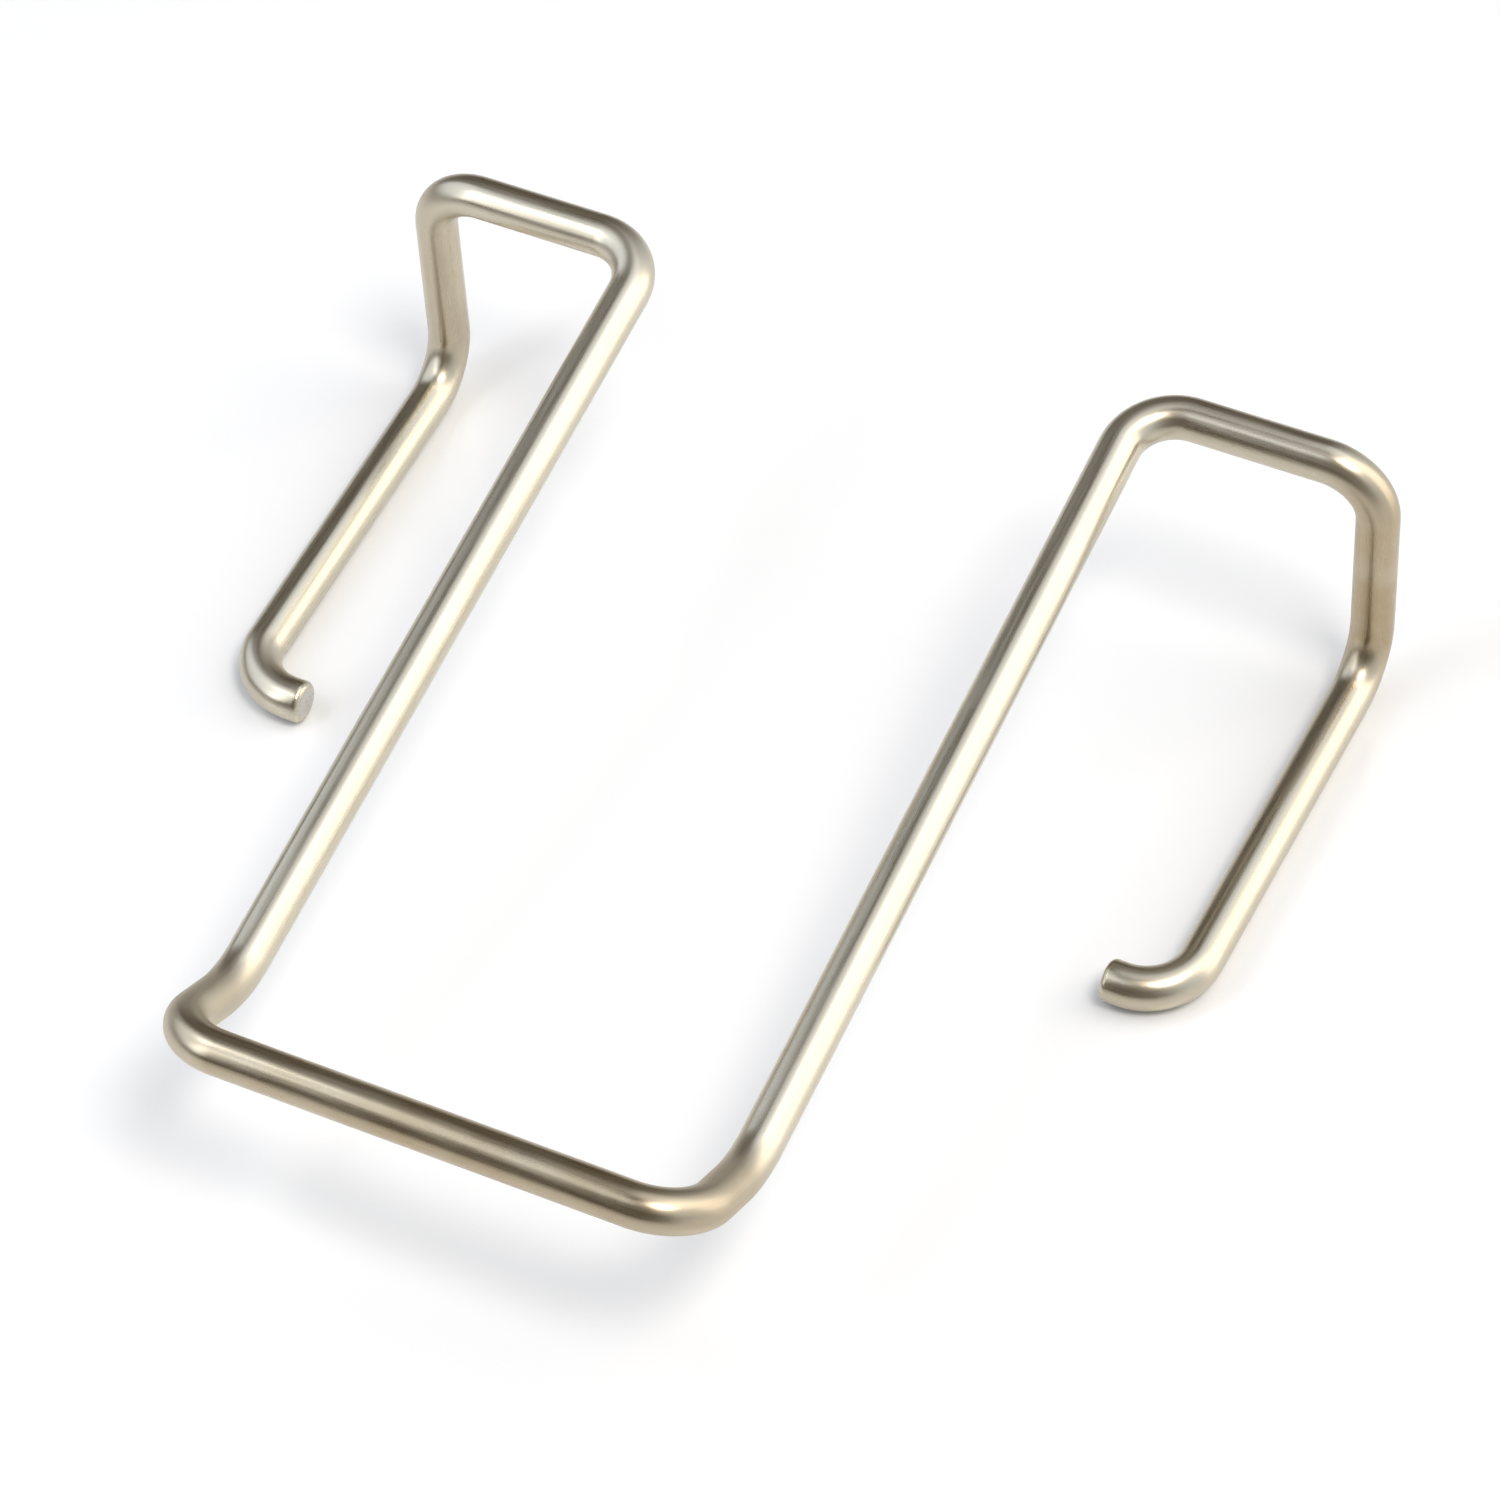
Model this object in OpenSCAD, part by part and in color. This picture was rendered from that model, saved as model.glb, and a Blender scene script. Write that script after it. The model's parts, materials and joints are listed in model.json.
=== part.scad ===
// Bent wire form: one length of round plated wire, bent into an open clip that stands on two feet.
// From the middle of the front bar each half turns back into a long arm, steps outwards,
// drops down a post and comes forward again as a foot with a short tip turned in at its end.
// X runs across the form, the front bar faces -Y, and Z = 0 is the surface under the feet.

/* [Wire] */
// Diameter of the round wire
wire_d = 2; // [1.5:0.1:2.6]
// Radius that tumbling leaves on the rim of each cut end
end_round = 0.3; // [0.1:0.05:0.5]

/* [Bends] */
// Inside radius of the right-angle bends
bend_r = 1.6; // [1:0.1:2.4]
// Inside radius of the shallow bend between arm and kink
kink_bend_r = 3.5; // [1.5:0.1:5]

/* [Front bar and kinks] */
// Reach of the kink past the end of the arm, along the arm's own line, corner to corner
kink_reach = 4.8; // [4:0.1:9]
// Lift of the front bar off the arm's own line, square to it
kink_lift = 3.6; // [2.4:0.1:4.2]

/* [Arms] */
// Distance between the two arms, centre to centre
arm_spacing = 24.4; // [16:0.2:34]
// Depth from the front bar to the back of the form, centre to centre
depth = 46.7; // [30:0.1:80]
// Angle at which the arms climb towards the back, in degrees
arm_slope = 8.4; // [2:0.1:15]

/* [Posts and feet] */
// Distance between the two posts, centre to centre
post_spacing = 47.2; // [44:0.2:80]
// Height of a post, from the foot's centre to the centre of the bar on top
post_height = 12.2; // [10:0.2:30]
// Length of a foot, corner to corner
foot_len = 21.8; // [10:0.2:40]
// Angle by which each foot turns in towards the front, in degrees
toe_in = 0.81; // [0:0.01:5]
// Straight length left on the tip past its bend
tip_len = 0.8; // [0.6:0.1:8]

/* [Hidden] */
$fn = 48;

wire_r = wire_d / 2;
right_angle = 90;

// The kink runs forwards and up from the arm, and climbs by what its turn has over the arm's slope.
kink_len = norm([kink_reach, kink_lift]);
kink_turn = atan2(kink_lift, kink_reach);
kink_angle = kink_turn - arm_slope;
arm_len = (depth - kink_len * cos(kink_angle)) / cos(arm_slope);
outer_len = (post_spacing - arm_spacing) / 2;

// Each bend takes this much off the straight lengths on both of its sides.
corner_cut = tangent(right_angle, bend_r);
kink_cut = tangent(kink_turn, kink_bend_r);

// Height of the front bar's centre over the surface under the feet.
arm_climb = arm_len * sin(arm_slope);
kink_climb = kink_len * sin(kink_angle);
bar_height = wire_r + post_height - arm_climb + kink_climb;

function tangent(angle, inside_r) = (inside_r + wire_r) * tan(angle / 2);

// A straight length of wire, with what follows placed at its far end.
module feed(length) {
    cylinder(h = length, r = wire_r);
    translate([0, 0, length]) children();
}

// Turns the wire about its own axis, so that the next bend goes another way.
module roll(angle) {
    rotate(angle) children();
}

// A bend towards +X, with what follows placed at its far end.
module bend(angle, inside_r) {
    centre_r = inside_r + wire_r;
    translate([centre_r, 0, 0]) {
        rotate([right_angle, 0, 2 * right_angle])
            rotate_extrude(angle = angle)
                translate([centre_r, 0]) circle(wire_r);
        rotate([0, angle, 0]) translate([-centre_r, 0, 0]) children();
    }
}

// A cut end with a rounded rim.
module cut_end(length) {
    rotate_extrude() {
        square([wire_r - end_round, length]);
        square([wire_r, length - end_round]);
        translate([wire_r - end_round, length - end_round])
            intersection() {
                circle(end_round);
                square(end_round);
            }
    }
}

// One half of the form, bent step by step from the middle of the front bar to the tip.
// Here the kink lies level, and the finished form is tilted to stand on its feet.
module half_form() {
    rotate([0, right_angle, 0])
        feed(arm_spacing / 2 - corner_cut)
        roll(right_angle) bend(right_angle, bend_r)
        feed(kink_len - corner_cut - kink_cut)
        roll(right_angle) bend(kink_turn, kink_bend_r)
        feed(arm_len - kink_cut - corner_cut)
        roll(right_angle) bend(right_angle, bend_r)
        feed(outer_len - 2 * corner_cut)
        roll(right_angle - arm_slope) bend(right_angle, bend_r)
        feed(post_height - 2 * corner_cut)
        roll(toe_in - right_angle) bend(right_angle, bend_r)
        feed(foot_len - 2 * corner_cut)
        roll(right_angle) bend(right_angle, bend_r)
        cut_end(tip_len);
}

module wire_form() {
    color("#cfc7b6")
        translate([0, -depth / 2, bar_height])
            rotate([-kink_angle, 0, 0]) {
                half_form();
                mirror([1, 0, 0]) half_form();
            }
}

wire_form();
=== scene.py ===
import json
import math

import bmesh
import bpy
from mathutils import Matrix, Vector

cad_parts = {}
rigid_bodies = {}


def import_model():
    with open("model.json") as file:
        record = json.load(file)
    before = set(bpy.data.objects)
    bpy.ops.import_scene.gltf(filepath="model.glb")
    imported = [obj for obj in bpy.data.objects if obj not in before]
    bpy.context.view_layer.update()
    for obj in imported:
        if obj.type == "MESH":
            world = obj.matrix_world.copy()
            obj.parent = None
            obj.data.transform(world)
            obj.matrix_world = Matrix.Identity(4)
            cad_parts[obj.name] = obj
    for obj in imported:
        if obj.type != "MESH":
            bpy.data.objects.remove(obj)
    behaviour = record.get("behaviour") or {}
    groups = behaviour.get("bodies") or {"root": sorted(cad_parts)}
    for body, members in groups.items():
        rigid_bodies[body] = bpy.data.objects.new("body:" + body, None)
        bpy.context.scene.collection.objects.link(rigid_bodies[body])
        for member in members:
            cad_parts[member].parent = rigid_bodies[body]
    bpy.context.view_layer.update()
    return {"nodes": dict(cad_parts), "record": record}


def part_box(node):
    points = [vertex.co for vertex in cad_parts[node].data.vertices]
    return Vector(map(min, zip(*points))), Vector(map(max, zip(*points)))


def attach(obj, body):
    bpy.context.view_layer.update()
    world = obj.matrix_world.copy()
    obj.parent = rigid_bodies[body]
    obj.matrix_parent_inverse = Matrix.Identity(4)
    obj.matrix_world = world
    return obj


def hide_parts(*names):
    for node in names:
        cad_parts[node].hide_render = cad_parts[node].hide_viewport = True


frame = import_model()
print("frame loaded with", sorted(frame["nodes"]))

mm = 0.001
mounts = {m["name"]: m for m in frame["record"]["mounts"]}


def linear(hexColour):
    channels = [int(hexColour[i:i + 2], 16) / 255 for i in (1, 3, 5)]
    return [c / 12.92 if c <= 0.04045 else ((c + 0.055) / 1.055) ** 2.4 for c in channels] + [1]


def addNode(tree, kind, inputs={}, links={}, **settings):
    node = tree.nodes.new(kind)
    for name, value in settings.items():
        setattr(node, name, value)
    for name, value in inputs.items():
        node.inputs[name].default_value = value
    for name, socket in links.items():
        tree.links.new(socket, node.inputs[name])
    return node


def newTree(owner):
    owner.use_nodes = True
    owner.node_tree.nodes.clear()
    return owner.node_tree


def spread(tree, noise, low, high):
    # noise seldom leaves 0.3 to 0.7, so that span is stretched from low to high
    return addNode(
        tree, "ShaderNodeMapRange", {"From Min": 0.3, "From Max": 0.7, "To Min": low, "To Max": high},
        {"Value": noise.outputs["Fac"]},
    )


# The bent wire
wire = {
    "armSpacing": 24.4 * mm,     # between the arms, centre to centre
    "armSlope": 8.4,             # degrees that the arms climb towards the back
    "kinkReach": 4.8 * mm,       # along the arm's own line
    "kinkLift": 3.6 * mm,        # square to the arm's own line
    "footLength": 21.8 * mm,
    "toeIn": 0.81,               # degrees
    "tipLength": 0.8 * mm,
    "bendRadius": 1.6 * mm,      # inside the right-angle bends
    "kinkRadius": 3.5 * mm,      # inside the shallow bends
    "endRound": 0.3 * mm,        # rim of a cut end
    "cutDish": 0.03 * mm,        # hollow that the shear leaves in a cut end
    "sides": 64,                 # round the wire
    "ringGap": 1.0 * mm,         # between rings on a straight length
    "bendSteps": 18,             # rings in a right-angle bend
    "rimSteps": 6,               # across the rim of a cut end
    "dishSteps": (0.2, 0.25, 0.25),       # insets of the cut face, as shares of its radius
    "weld": 0.001 * mm,          # vertices closer than this are merged
    "smoothAngle": 40,           # degrees between faces that still shade as one
    # how far each length is yellowed, a light stain deepened as painted shade for its darker
    # reflections,
    #     # most on the posts, front bar and kinks, and what is left of that out on the left side
    "stainAndShade": {
        "frontBar": 0.75, "kink": 0.45, "arm": 0.05, "outerBar": 0.2,
        "post": 0.9, "foot": 0.15, "tip": 0.3,
    },
    "leftStainAndShade": 0.45,
    "rub": {"bend": 0.35, "kink": 1},     # how far the bending tool has dulled the plate
}


def wireSteps():
    lo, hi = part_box("wire_form")
    radius = mounts["left_tip"]["dims"]["r_mm"] * mm
    depth = hi.y - lo.y - 2 * radius
    postHeight = hi.z - lo.z - 2 * radius
    outerLength = (hi.x - lo.x - 2 * radius - wire["armSpacing"]) / 2
    kinkLength = math.hypot(wire["kinkReach"], wire["kinkLift"])
    kinkTurn = math.degrees(math.atan2(wire["kinkLift"], wire["kinkReach"]))
    kinkAngle = math.radians(kinkTurn - wire["armSlope"])
    armLength = (depth - kinkLength * math.cos(kinkAngle)) / math.cos(math.radians(wire["armSlope"]))
    cornerCut = wire["bendRadius"] + radius
    kinkCut = (wire["kinkRadius"] + radius) * math.tan(math.radians(kinkTurn) / 2)
    start = Vector((0, -depth / 2, mounts["front_bar"]["pos_m"][2]))
    place = Matrix.Translation(start) @ Matrix.Rotation(-kinkAngle, 4, "X")
    place = place @ Matrix.Rotation(math.pi / 2, 4, "Y")
    corner = ("bend", 90, wire["bendRadius"])
    steps = [
        ("feed", wire["armSpacing"] / 2 - cornerCut, "frontBar"),
        ("roll", 90), corner,
        ("feed", kinkLength - cornerCut - kinkCut, "kink"),
        ("roll", 90), ("bend", kinkTurn, wire["kinkRadius"]),
        ("feed", armLength - kinkCut - cornerCut, "arm"),
        ("roll", 90), corner,
        ("feed", outerLength - 2 * cornerCut, "outerBar"),
        ("roll", 90 - wire["armSlope"]), corner,
        ("feed", postHeight - 2 * cornerCut, "post"),
        ("roll", wire["toeIn"] - 90), corner,
        ("feed", wire["footLength"] - 2 * cornerCut, "foot"),
        ("roll", 90), corner,
        ("feed", wire["tipLength"], "tip"),
    ]
    return radius, place, steps


def markRing(mesh, run, rub, stainAndShade):
    # each vertex keeps its place on the straight wire, before it was bent
    bm = bmesh.from_edit_mesh(mesh)
    straight = bm.verts.layers.float_vector["straightWire"]
    for v in bm.verts:
        if v.select:
            v[straight].x = run
            v[bm.verts.layers.float["bendRub"]] = rub
            # the yellowing of this length, deepened as painted shade where its reflections are darker
            v[bm.verts.layers.float["stainAndShade"]] = stainAndShade
    bmesh.update_edit_mesh(mesh)


def bendWire():
    radius, place, steps = wireSteps()
    bpy.ops.object.select_all(action="DESELECT")
    bpy.ops.mesh.primitive_circle_add(vertices=wire["sides"], radius=radius, location=(0, 0, 0))
    piece = bpy.context.object
    piece.name = "bentWire"
    mesh = piece.data
    mesh.attributes.new("straightWire", "FLOAT_VECTOR", "POINT")
    mesh.attributes.new("bendRub", "FLOAT", "POINT")
    mesh.attributes.new("stainAndShade", "FLOAT", "POINT")
    for i, v in enumerate(mesh.vertices):
        mesh.attributes["straightWire"].data[i].vector = (0, v.co.x, v.co.y)
        mesh.attributes["stainAndShade"].data[i].value = wire["stainAndShade"]["frontBar"]
    mesh.transform(place)
    bpy.ops.object.mode_set(mode="EDIT")
    bpy.ops.mesh.select_all(action="SELECT")
    run = 0
    lengths = [step[2] for step in steps if step[0] == "feed"]
    wear = [(wire["stainAndShade"][name], wire["rub"].get(name, 0)) for name in lengths]
    for kind, amount, *rest in steps:
        if kind == "roll":
            place = place @ Matrix.Rotation(math.radians(amount), 4, "Z")
        if kind == "feed":
            stainAndShade, rub = wear.pop(0)
            count = max(1, round(amount / wire["ringGap"]))
            for i in range(count):
                along = place.to_3x3() @ Vector((0, 0, amount / count))
                bpy.ops.mesh.extrude_region_move(TRANSFORM_OT_translate={"value": along})
                place = Matrix.Translation(along) @ place
                run += amount / count
                markRing(mesh, run, rub, stainAndShade)
        if kind == "bend":
            inside = rest[0]
            nextStainAndShade, nextRub = wear[0]
            count = round(wire["bendSteps"] * amount / 90)
            turn = math.radians(amount) / count
            middle = place @ Vector((inside + radius, 0, 0))
            axis = place.to_3x3() @ Vector((0, 1, 0))
            swing = (
                Matrix.Translation(middle) @ Matrix.Rotation(turn, 4, axis)
                @ Matrix.Translation(-middle)
            )
            for i in range(count):
                # spin turns the other way than a rotation matrix
                bpy.ops.mesh.spin(steps=1, angle=-turn, center=middle, axis=axis)
                place = swing @ place
                run += turn * (inside + radius)
                share = (i + 1) / count
                bendRub = wire["rub"]["bend"] * math.sin(math.pi * share)
                ringRub = max(bendRub, rub + share * (nextRub - rub))
                markRing(mesh, run, ringRub, stainAndShade + share * (nextStainAndShade - stainAndShade))
    return piece, place


def closeEnd(piece, tipPlace):
    # the sheared end: capped, its rim rounded, its face a little dished
    outwards = tipPlace.to_3x3() @ Vector((0, 0, 1))
    bpy.ops.mesh.edge_face_add()
    bpy.ops.mesh.region_to_loop()
    bpy.ops.mesh.bevel(offset=wire["endRound"], segments=wire["rimSteps"], affect="EDGES")
    bpy.ops.mesh.select_mode(type="FACE")
    bpy.ops.mesh.select_all(action="DESELECT")
    bm = bmesh.from_edit_mesh(piece.data)
    bm.normal_update()
    for face in bm.faces:
        face.select_set(len(face.verts) > 4)    # the cap alone has more than four corners
    bmesh.update_edit_mesh(piece.data)
    faceRadius = mounts["left_tip"]["dims"]["r_mm"] * mm - wire["endRound"]
    for share in wire["dishSteps"]:
        bpy.ops.mesh.inset(thickness=share * faceRadius)
        bpy.ops.transform.translate(value=-outwards * wire["cutDish"] / len(wire["dishSteps"]))
    for share in wire["dishSteps"]:
        bpy.ops.mesh.select_more()
    piece.active_material_index = 1
    bpy.ops.object.material_slot_assign()


def mirrorHalf(piece):
    bpy.ops.object.mode_set(mode="OBJECT")
    bpy.ops.object.modifier_add(type="MIRROR")
    piece.modifiers["Mirror"].merge_threshold = wire["weld"]
    bpy.ops.object.modifier_apply(modifier="Mirror")
    bpy.ops.object.mode_set(mode="EDIT")
    bpy.ops.mesh.select_all(action="SELECT")
    bpy.ops.mesh.remove_doubles(threshold=wire["weld"])
    bpy.ops.mesh.normals_make_consistent(inside=False)
    bpy.ops.object.mode_set(mode="OBJECT")
    attributes = piece.data.attributes
    reach = -min(v.co.x for v in piece.data.vertices)
    for v in piece.data.vertices:
        # the run is counted from the middle of the front bar, so it is negative on the left
        if v.co.x < 0:
            attributes["straightWire"].data[v.index].vector.x *= -1
            # less of the yellowing and its painted shade out on the left, where the reflections are
            # brighter
            attributes["stainAndShade"].data[v.index].value *= 1 + (1 - wire["leftStainAndShade"]) * v.co.x / reach
    bpy.ops.object.shade_smooth_by_angle(angle=math.radians(wire["smoothAngle"]))


# Bright nickel plate over drawn steel wire: warm white metal, its soft reflections drawn out along
# # the wire, a blotchy yellowing deepened as painted shade on the posts and the front bar, and dull at
# the kinks
nickel = {
    "colour": "#c9c2b0",
    "paler": "#d3ccbc",
    "duller": "#b9b09c",
    "yellowedAndShaded": "#ab9a7e",
    "stainPatch": 2.5 * mm,      # blotches in the yellowing
    "stainSpread": (0.75, 1.25),          # what a blotch makes of it, at its faintest and strongest
    "patch": 5 * mm,             # clouding of the plate
    "drawLine": 0.16 * mm,       # between the die's lines, coarser than real ones so that they show
    "lineLength": 25,            # times its width
    "roughness": (0.24, 0.33),
    "bendRoughness": 0.2,        # added where the bending tool rubbed
    "lineDepth": 0.0012 * mm,
}


def nickelPlate():
    material = bpy.data.materials.new("nickelPlatedDrawnSteel")
    tree = newTree(material)
    straight = addNode(tree, "ShaderNodeAttribute", attribute_name="straightWire")
    clouds = addNode(
        tree, "ShaderNodeTexNoise", {"Scale": 1 / nickel["patch"], "Detail": 3},
        {"Vector": straight.outputs["Vector"]},
    )
    drawn = addNode(
        tree, "ShaderNodeMapping", {"Scale": (1 / nickel["lineLength"], 1, 1)},
        {"Vector": straight.outputs["Vector"]},
    )
    lines = addNode(
        tree, "ShaderNodeTexNoise", {"Scale": 1 / nickel["drawLine"], "Detail": 2},
        {"Vector": drawn.outputs["Vector"]},
    )
    tone = addNode(
        tree, "ShaderNodeMix", {6: linear(nickel["duller"]), 7: linear(nickel["paler"])},
        {0: clouds.outputs["Fac"]}, data_type="RGBA",
    )
    plate = addNode(
        tree, "ShaderNodeMix", {7: linear(nickel["colour"])},
        {0: lines.outputs["Fac"], 6: tone.outputs[2]}, data_type="RGBA",
    )
    stainAndShade = addNode(tree, "ShaderNodeAttribute", attribute_name="stainAndShade")
    blotches = addNode(
        tree, "ShaderNodeTexNoise", {"Scale": 1 / nickel["stainPatch"], "Detail": 3},
        {"Vector": straight.outputs["Vector"]},
    )
    uneven = spread(tree, blotches, *nickel["stainSpread"])
    # blotchy yellowing, made deeper and browner as painted shade on the posts, front bar and kinks
    yellowingAndShade = addNode(
        tree, "ShaderNodeMath", links={0: stainAndShade.outputs["Fac"], 1: uneven.outputs["Result"]},
        operation="MULTIPLY",
    )
    colour = addNode(
        tree, "ShaderNodeMix", {7: linear(nickel["yellowedAndShaded"])},
        {0: yellowingAndShade.outputs[0], 6: plate.outputs[2]}, data_type="RGBA",
    )
    drawnRough = spread(tree, lines, *nickel["roughness"])
    rub = addNode(tree, "ShaderNodeAttribute", attribute_name="bendRub")
    rough = addNode(
        tree, "ShaderNodeMath", {1: nickel["bendRoughness"]},
        {0: rub.outputs["Fac"], 2: drawnRough.outputs["Result"]}, operation="MULTIPLY_ADD",
    )
    bump = addNode(
        tree, "ShaderNodeBump", {"Strength": 1, "Distance": nickel["lineDepth"]},
        {"Height": lines.outputs["Fac"]},
    )
    metal = addNode(
        tree, "ShaderNodeBsdfPrincipled", {"Metallic": 1},
        {
            "Base Color": colour.outputs[2], "Roughness": rough.outputs[0],
            "Normal": bump.outputs["Normal"],
        },
    )
    addNode(tree, "ShaderNodeOutputMaterial", links={"Surface": metal.outputs["BSDF"]})
    return material


# Bare steel where the wire was sheared: greyer than the plate, with a fine torn grain
shear = {
    "bright": "#dcd8d2",
    "dark": "#aaa59f",
    "grain": 0.12 * mm,
    "roughness": (0.22, 0.42),
    "grainDepth": 0.004 * mm,
}


def shearedSteel():
    material = bpy.data.materials.new("shearedSteel")
    tree = newTree(material)
    straight = addNode(tree, "ShaderNodeAttribute", attribute_name="straightWire")
    grain = addNode(
        tree, "ShaderNodeTexNoise", {"Scale": 1 / shear["grain"], "Detail": 4},
        {"Vector": straight.outputs["Vector"]},
    )
    colour = addNode(
        tree, "ShaderNodeMix", {6: linear(shear["dark"]), 7: linear(shear["bright"])},
        {0: grain.outputs["Fac"]}, data_type="RGBA",
    )
    rough = spread(tree, grain, *shear["roughness"])
    bump = addNode(
        tree, "ShaderNodeBump", {"Strength": 1, "Distance": shear["grainDepth"]},
        {"Height": grain.outputs["Fac"]},
    )
    metal = addNode(
        tree, "ShaderNodeBsdfPrincipled", {"Metallic": 1},
        {
            "Base Color": colour.outputs[2], "Roughness": rough.outputs["Result"],
            "Normal": bump.outputs["Normal"],
        },
    )
    addNode(tree, "ShaderNodeOutputMaterial", links={"Surface": metal.outputs["BSDF"]})
    return material


piece, tipPlace = bendWire()
piece.data.materials.append(nickelPlate())
piece.data.materials.append(shearedSteel())
closeEnd(piece, tipPlace)
mirrorHalf(piece)
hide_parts("wire_form")
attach(piece, "root")
tipAt = [round(c / mm, 2) for c in tipPlace.translation]
print("wire bent:", len(piece.data.polygons), "faces, right tip at", tipAt, "mm")


# White gloss board: it mirrors the lamps at low angles, and adds a share of its own white
floorSettings = {"side": 6.0, "colour": "#e8e8e8", "roughness": 0.15, "ownWhite": 0.02}


def layFloor():
    bpy.ops.object.select_all(action="DESELECT")
    bpy.ops.mesh.primitive_plane_add(size=floorSettings["side"], location=(0, 0, 0))
    floor = bpy.context.object
    floor.name = "paleFloor"
    material = bpy.data.materials.new("whiteGlossBoard")
    tree = newTree(material)
    path = addNode(tree, "ShaderNodeLightPath")
    seen = addNode(
        tree, "ShaderNodeMath",
        links={0: path.outputs["Is Camera Ray"], 1: path.outputs["Is Glossy Ray"]}, operation="MAXIMUM",
    )
    seenToo = addNode(
        tree, "ShaderNodeMath", links={0: seen.outputs[0], 1: path.outputs["Is Transmission Ray"]},
        operation="MAXIMUM",
    )
    share = addNode(
        tree, "ShaderNodeMath", {1: floorSettings["ownWhite"]}, {0: seenToo.outputs[0]},
        operation="MULTIPLY",
    )
    board = addNode(
        tree, "ShaderNodeBsdfPrincipled",
        {"Base Color": linear(floorSettings["colour"]), "Roughness": floorSettings["roughness"]},
    )
    white = addNode(tree, "ShaderNodeEmission", {"Color": (1, 1, 1, 1)}, {"Strength": share.outputs[0]})
    both = addNode(tree, "ShaderNodeAddShader", links={0: board.outputs[0], 1: white.outputs[0]})
    addNode(tree, "ShaderNodeOutputMaterial", links={"Surface": both.outputs[0]})
    floor.data.materials.append(material)


# Studio: bearings in degrees from the back (+Y) towards the right (+X)
studio = {
    "room": "#675f54",           # the dim, warm room that the dark sides of the wire show
    "glow": "#eef4fc",           # the pale wall round the window
    "glowSide": (65, 8, 35, 81),     # bearing, elevation, inner and outer radius, all in degrees
    "lowSky": 0.6,               # under 1 it stretches the glow upwards
    # bearing, distance, width, height, lower edge, shine, colour
    "boards": {
        "leftBoard": (-106.5, 0.5, 0.85, 1.4, 0.11, 1.4, "#e4efff"),
        "window": (57.5, 0.5, 0.37, 1.15, 0.0, 1.75, "#fff5e5"),
        # two small cards for the bright line on the left outer bar
        "lowCard": (-139, 0.142, 0.05, 0.12, 0.045, 2.3, "#f6faff"),
        "topCard": (-114.7, 0.069, 0.03, 0.075, 0.0735, 3.2, "#f6faff"),
    },
    # bearing, elevation, distance, side, shine, colour
    "lamps": {
        "overhead": (10, 66, 0.8, 0.5, 1.1, "#e8f1ff"),
        "key": (112, 65, 0.8, 0.27, 13, "#fff9f2"),
        "upperLeft": (-160, 62, 0.8, 0.24, 1.1, "#e8f1ff"),
    },
}


def bearingVector(bearing, elevation):
    a, e = math.radians(bearing), math.radians(elevation)
    return Vector((math.sin(a) * math.cos(e), math.cos(a) * math.cos(e), math.sin(e)))


def areaLamp(name, place, towards, width, height, shine, colour):
    lamp = bpy.data.lights.new(name, "AREA")
    lamp.shape = "RECTANGLE"
    lamp.size, lamp.size_y = width, height
    lamp.energy = math.pi * width * height * shine    # shine is then the lamp's radiance, white at 1
    lamp.color = linear(colour)[:3]
    holder = bpy.data.objects.new(name, lamp)
    bpy.context.scene.collection.objects.link(holder)
    holder.location = place
    holder.rotation_euler = (-towards).to_track_quat("-Z", "Y").to_euler()
    holder.visible_camera = False


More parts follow.
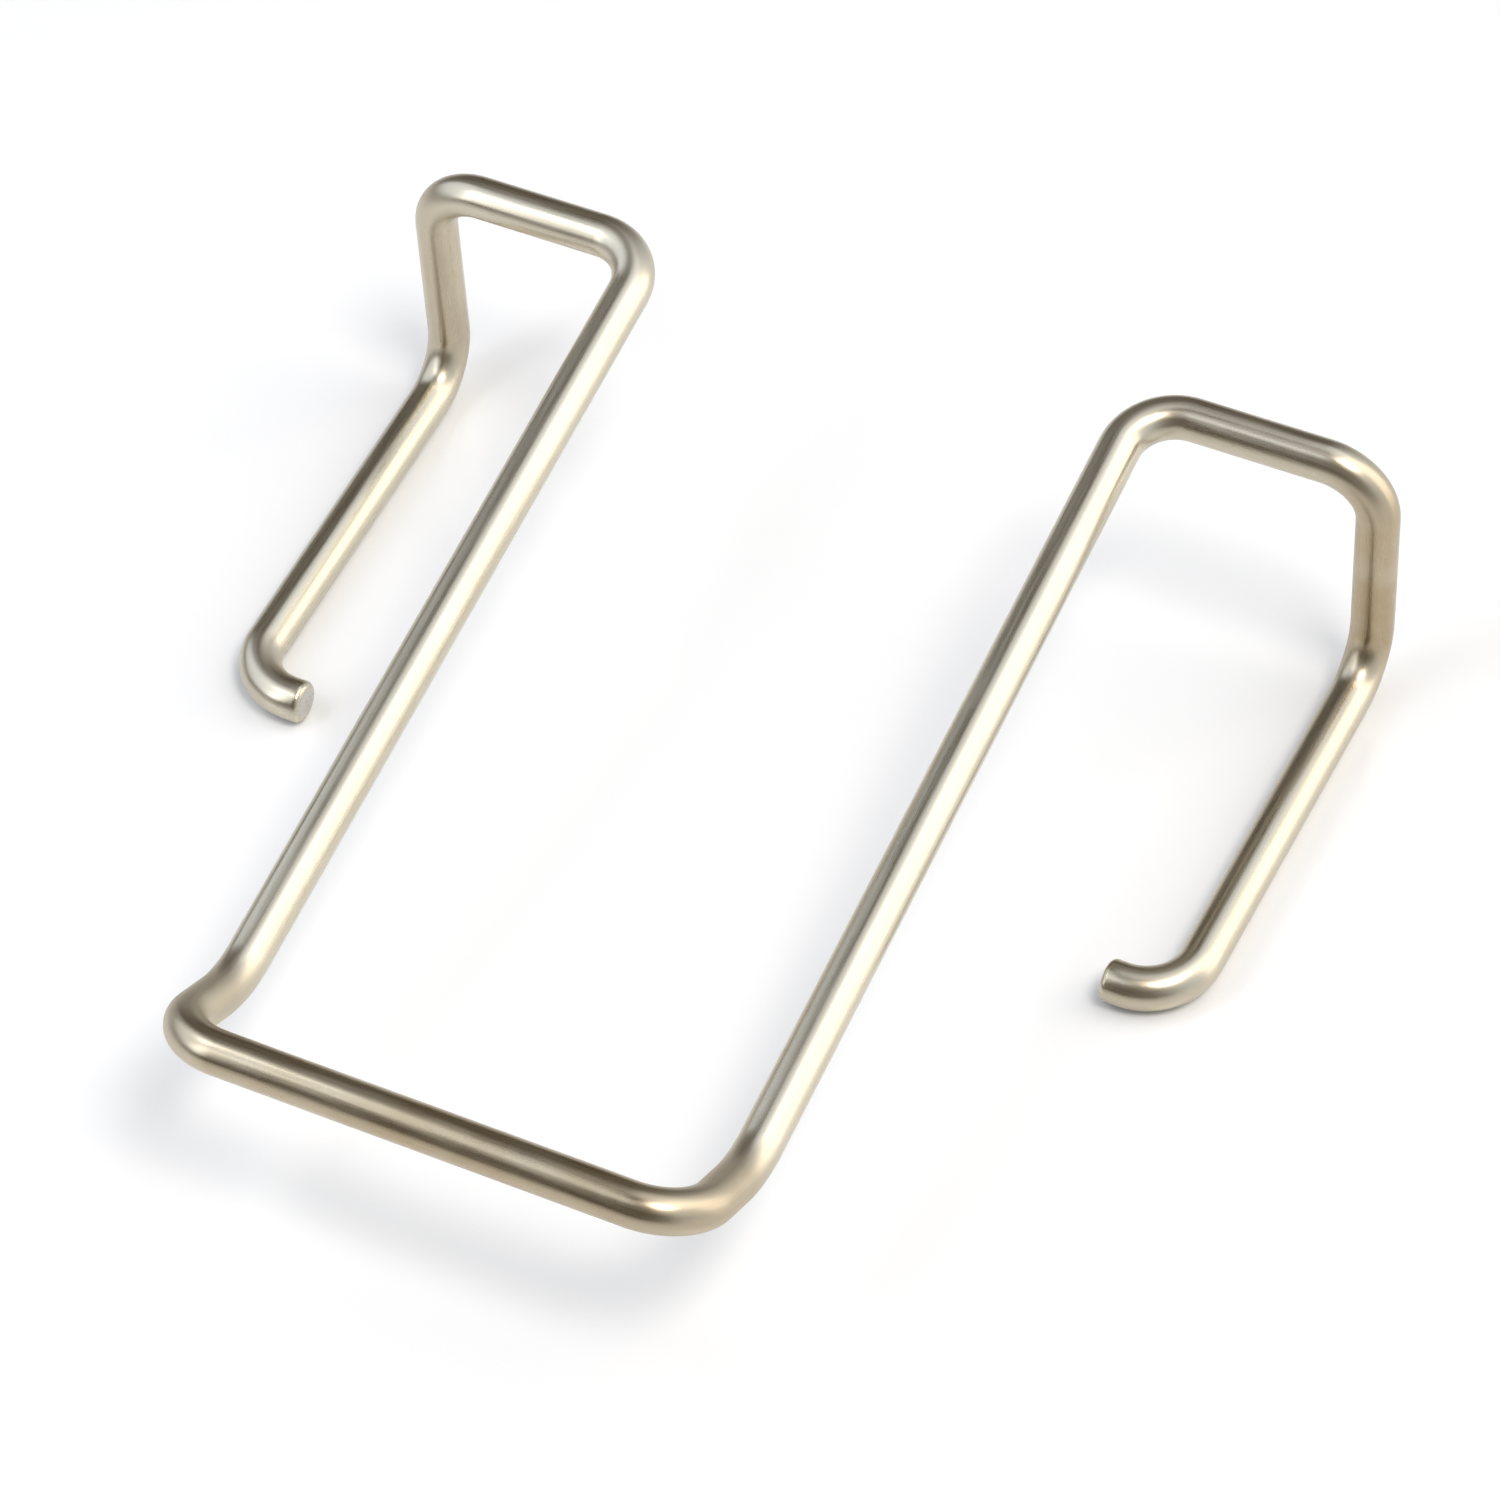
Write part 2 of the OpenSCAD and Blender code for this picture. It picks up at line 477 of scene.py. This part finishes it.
def lightStudio():
    world = bpy.data.worlds.new("studioRoom")
    bpy.context.scene.world = world
    tree = newTree(world)
    bearing, elevation, inner, outer = studio["glowSide"]
    stretch = Vector((1, 1, studio["lowSky"]))
    coords = addNode(tree, "ShaderNodeTexCoord")
    flatter = addNode(
        tree, "ShaderNodeVectorMath", {1: stretch}, {0: coords.outputs["Generated"]},
        operation="MULTIPLY",
    )
    direction = addNode(
        tree, "ShaderNodeVectorMath", links={0: flatter.outputs[0]}, operation="NORMALIZE",
    )
    facing = addNode(
        tree, "ShaderNodeVectorMath", {1: (bearingVector(bearing, elevation) * stretch).normalized()},
        {0: direction.outputs[0]}, operation="DOT_PRODUCT",
    )
    share = addNode(
        tree, "ShaderNodeMapRange",
        {"From Min": math.cos(math.radians(outer)), "From Max": math.cos(math.radians(inner))},
        {"Value": facing.outputs["Value"]}, interpolation_type="SMOOTHSTEP",
    )
    walls = addNode(
        tree, "ShaderNodeMix", {6: linear(studio["room"]), 7: linear(studio["glow"])},
        {0: share.outputs["Result"]}, data_type="RGBA",
    )
    room = addNode(tree, "ShaderNodeBackground", {"Strength": 1}, {"Color": walls.outputs[2]})
    addNode(tree, "ShaderNodeOutputWorld", links={"Surface": room.outputs[0]})
    for name, (bearing, distance, width, height, low, shine, colour) in studio["boards"].items():
        towards = bearingVector(bearing, 0)
        place = towards * distance + Vector((0, 0, low + height / 2))
        areaLamp(name, place, towards, width, height, shine, colour)
    for name, (bearing, elevation, distance, side, shine, colour) in studio["lamps"].items():
        towards = bearingVector(bearing, elevation)
        areaLamp(name, towards * distance, towards, side, side, shine, colour)


# Camera fitted to the photo, which is 1500 x 1500
view = {
    "azimuth": 28.448, "elevation": 49.582, "roll": -3.734,
    "distance": 261.487 * mm, "target": Vector((3.583, 0.496, 9.943)) * mm,
    "lens": 144.874, "sensor": 36,
}


def setCamera():
    a, e, r = (math.radians(view[k]) for k in ("azimuth", "elevation", "roll"))
    back = Vector((math.sin(a) * math.cos(e), -math.cos(a) * math.cos(e), math.sin(e)))
    level = Vector((math.cos(a), math.sin(a), 0))
    upright = back.cross(level)
    right = math.cos(r) * level + math.sin(r) * upright
    up = back.cross(right)
    camera = bpy.data.objects.new("photoCamera", bpy.data.cameras.new("photoCamera"))
    bpy.context.scene.collection.objects.link(camera)
    camera.data.lens = view["lens"]
    camera.data.sensor_width = view["sensor"]
    camera.data.clip_start = 0.01
    turned = Matrix((right, up, back)).transposed().to_4x4()
    camera.matrix_world = Matrix.Translation(view["target"] + back * view["distance"]) @ turned
    bpy.context.scene.camera = camera


layFloor()
lightStudio()
setCamera()
bpy.context.scene.view_settings.view_transform = "Standard"
print("floor, light and camera set")
